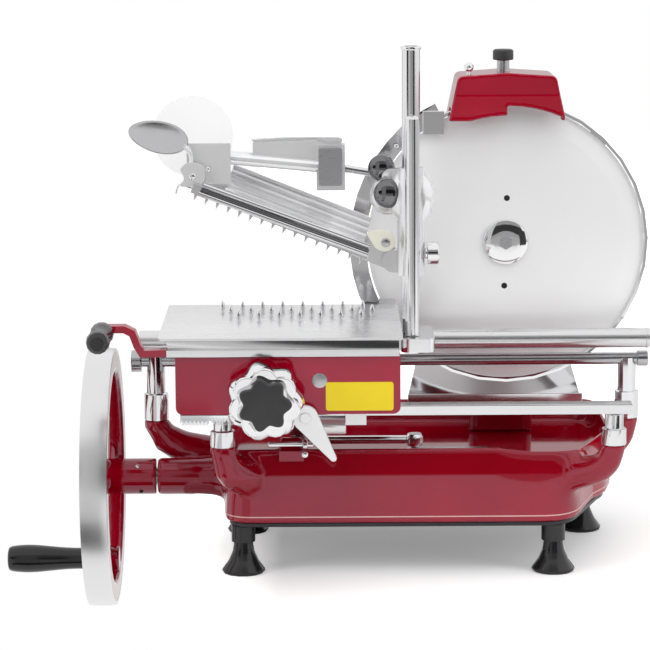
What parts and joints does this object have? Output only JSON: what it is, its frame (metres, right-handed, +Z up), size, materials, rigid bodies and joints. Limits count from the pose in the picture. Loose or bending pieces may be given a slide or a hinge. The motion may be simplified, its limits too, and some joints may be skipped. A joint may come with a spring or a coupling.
{
  "type": "hand crank meat slicer",
  "caption": "Hand-cranked flywheel slicer: spoked wheel, red casting on feet, round blade in a ring guard, sliding carriage with spiked meat table, feed knob and press arm.",
  "frame": {"origin": "bottom centre of the whole object's box, level with the flywheel's lowest point; the four feet stand 43.3 mm higher", "axes": "+X from the flywheel along the carriage's travel to the blade, +Y from the operator to the rear, +Z up"},
  "size_m": [0.577, 0.3694, 0.5043],
  "materials": {
    "red_enamel": "deep glossy enamel",
    "polished_steel": "polished bright",
    "plain_steel": "fine machined",
    "black_plastic": "semi gloss",
    "white_stone": "abrasive, matte",
    "pale_plastic": "translucent, satin"
  },
  "bodies": {
    "frame": {"base_casting": "red_enamel", "base_plate": "plain_steel", "blade_support": "red_enamel", "foot_front_left": "black_plastic", "foot_front_right": "black_plastic", "foot_rear_left": "black_plastic", "foot_rear_right": "black_plastic", "front_bar": "polished_steel", "front_post_left": "polished_steel", "front_post_right": "polished_steel", "guard_plate": "polished_steel", "rear_post_left": "polished_steel", "rear_post_right": "polished_steel", "rear_rail": "polished_steel", "receiving_tray": "polished_steel", "ring_guard": "polished_steel", "shaft_bush": "plain_steel", "sharpener_cover": "red_enamel"},
    "drive_wheel": {"flywheel": "red_enamel", "drive_shaft": "plain_steel"},
    "grip": {"crank_grip": "black_plastic"},
    "crank": {"crank_arm": "plain_steel", "crank_gear": "plain_steel"},
    "cross_drive": {"cross_shaft": "plain_steel"},
    "riser_drive": {"riser_shaft": "plain_steel"},
    "blade_drive": {"blade": "polished_steel", "blade_spindle": "plain_steel", "hub_cap": "polished_steel"},
    "sharpener": {"sharpener_knob": "black_plastic", "stone_carrier": "plain_steel"},
    "grinding_wheel": {"grinding_stone": "white_stone"},
    "honing_wheel": {"honing_stone": "white_stone"},
    "ball_catch": {"ball_pin": "polished_steel"},
    "lock": {"lock_pin": "plain_steel"},
    "carriage": {"carriage_box": "red_enamel", "carriage_channel": "polished_steel", "front_shoe": "polished_steel", "guard_tube": "polished_steel", "handle_bracket": "red_enamel", "handle_spool": "black_plastic", "rack_strip": "plain_steel", "slide_block_left": "plain_steel", "slide_block_right": "plain_steel"},
    "drive_rod": {"connecting_rod": "plain_steel"},
    "feed": {"feed_knob": "polished_steel", "feed_insert": "black_plastic"},
    "lever": {"release_lever": "polished_steel"},
    "table": {"column": "polished_steel", "column_foot": "polished_steel", "front_rod": "polished_steel", "meat_table": "polished_steel", "table_slide": "plain_steel"},
    "press_travel": {"press_slider": "polished_steel"},
    "clamp": {"clamp_knob": "polished_steel"},
    "link": {"link_rod": "polished_steel"},
    "press": {"press_arm": "polished_steel", "comb_bar": "polished_steel", "bar_handle": "polished_steel", "hand_guard": "pale_plastic"},
    "trigger_pivot": {"trigger": "polished_steel"}
  },
  "joints": [
    {"name": "flywheel_turn", "type": "hinge", "parent": "frame", "child": "drive_wheel", "pos_m": [-0.20476, 0.02565, 0.116], "axis": [1, 0, 0], "continuous": true},
    {"name": "grip_turn", "type": "hinge", "parent": "drive_wheel", "child": "grip", "pos_m": [-0.21651, 0.05079, 0.03376], "axis": [1, 0, 0], "continuous": true},
    {"name": "crank_turn", "type": "hinge", "parent": "frame", "child": "crank", "pos_m": [0.13574, 0.02565, 0.1353], "axis": [0, 0, 1], "continuous": true},
    {"name": "cross_turn", "type": "hinge", "parent": "frame", "child": "cross_drive", "pos_m": [0.15974, 0.07065, 0.116], "axis": [0, 1, 0], "continuous": true},
    {"name": "riser_turn", "type": "hinge", "parent": "frame", "child": "riser_drive", "pos_m": [0.15974, 0.14965, 0.134], "axis": [0, 0, 1], "continuous": true},
    {"name": "blade_turn", "type": "hinge", "parent": "frame", "child": "blade_drive", "pos_m": [0.15974, 0.07065, 0.3209], "axis": [0, 1, 0], "continuous": true},
    {"name": "carriage_run", "type": "slide", "parent": "frame", "child": "carriage", "axis": [1, 0, 0], "range_m": [0, 0.12]},
    {"name": "drive_rod_swing", "type": "hinge", "parent": "carriage", "child": "drive_rod", "pos_m": [-0.02826, 0.02565, 0.1483], "axis": [0, 0, 1], "range_deg": [-36, 36]},
    {"name": "table_feed", "type": "slide", "parent": "carriage", "child": "table", "axis": [0, -1, 0], "range_m": [0, 0.09]},
    {"name": "feed_screw_turn", "type": "hinge", "parent": "carriage", "child": "feed", "pos_m": [-0.05476, -0.11935, 0.2168], "axis": [0, 1, 0], "range_deg": [-10, 4060]},
    {"name": "lever_swing", "type": "hinge", "parent": "carriage", "child": "lever", "pos_m": [-0.02126, -0.11935, 0.1993], "axis": [0, 1, 0], "range_deg": [-11, 11]},
    {"name": "press_height", "type": "slide", "parent": "table", "child": "press_travel", "axis": [0, 0, 1], "range_m": [-0.022, 0.085]},
    {"name": "clamp_turn", "type": "hinge", "parent": "press_travel", "child": "clamp", "pos_m": [0.08321, -0.02235, 0.3243], "axis": [1, 0, 0], "range_deg": [-90, 90]},
    {"name": "press_swing", "type": "hinge", "parent": "press_travel", "child": "press", "pos_m": [0.05604, -0.00435, 0.3166], "axis": [0, 1, 0], "range_deg": [-11, 5]},
    {"name": "link_swing", "type": "hinge", "parent": "press_travel", "child": "link", "pos_m": [0.05324, -0.00435, 0.3903], "axis": [0, 1, 0], "range_deg": [-11, 5]},
    {"name": "trigger_pull", "type": "hinge", "parent": "press", "child": "trigger_pivot", "pos_m": [-0.11926, -0.02285, 0.4113], "axis": [0, 1, 0], "range_deg": [0, 17], "stiffness_Nm_per_rad": 0.12, "springref_deg": -6.88},
    {"name": "sharpener_press", "type": "slide", "parent": "frame", "child": "sharpener", "axis": [0, 0, 1], "range_m": [-0.0015, 0], "stiffness_N_per_m": 900, "springref_m": 0.0026},
    {"name": "grinding_turn", "type": "hinge", "parent": "sharpener", "child": "grinding_wheel", "pos_m": [0.13874, 0.08465, 0.4588], "axis": [0, 1, 0], "continuous": true},
    {"name": "honing_turn", "type": "hinge", "parent": "sharpener", "child": "honing_wheel", "pos_m": [0.18074, 0.08465, 0.4588], "axis": [0, 1, 0], "continuous": true},
    {"name": "ball_pin_press", "type": "slide", "parent": "frame", "child": "ball_catch", "axis": [0, 0, 1], "range_m": [-0.002, 0], "stiffness_N_per_m": 400, "springref_m": 0.0012},
    {"name": "lock_pin_push", "type": "slide", "parent": "frame", "child": "lock", "axis": [1, 0, 0], "range_m": [0, 0.005]}
  ],
  "couplings": [
    {"joint": "crank_turn", "follows": "flywheel_turn", "ratio": 1},
    {"joint": "cross_turn", "follows": "flywheel_turn", "ratio": 1},
    {"joint": "riser_turn", "follows": "flywheel_turn", "ratio": 1},
    {"joint": "blade_turn", "follows": "flywheel_turn", "ratio": -2},
    {"joint": "feed_screw_turn", "follows": "table_feed", "rad_per_m": 785.4},
    {"joint": "link_swing", "follows": "press_swing", "ratio": 1}
  ]
}
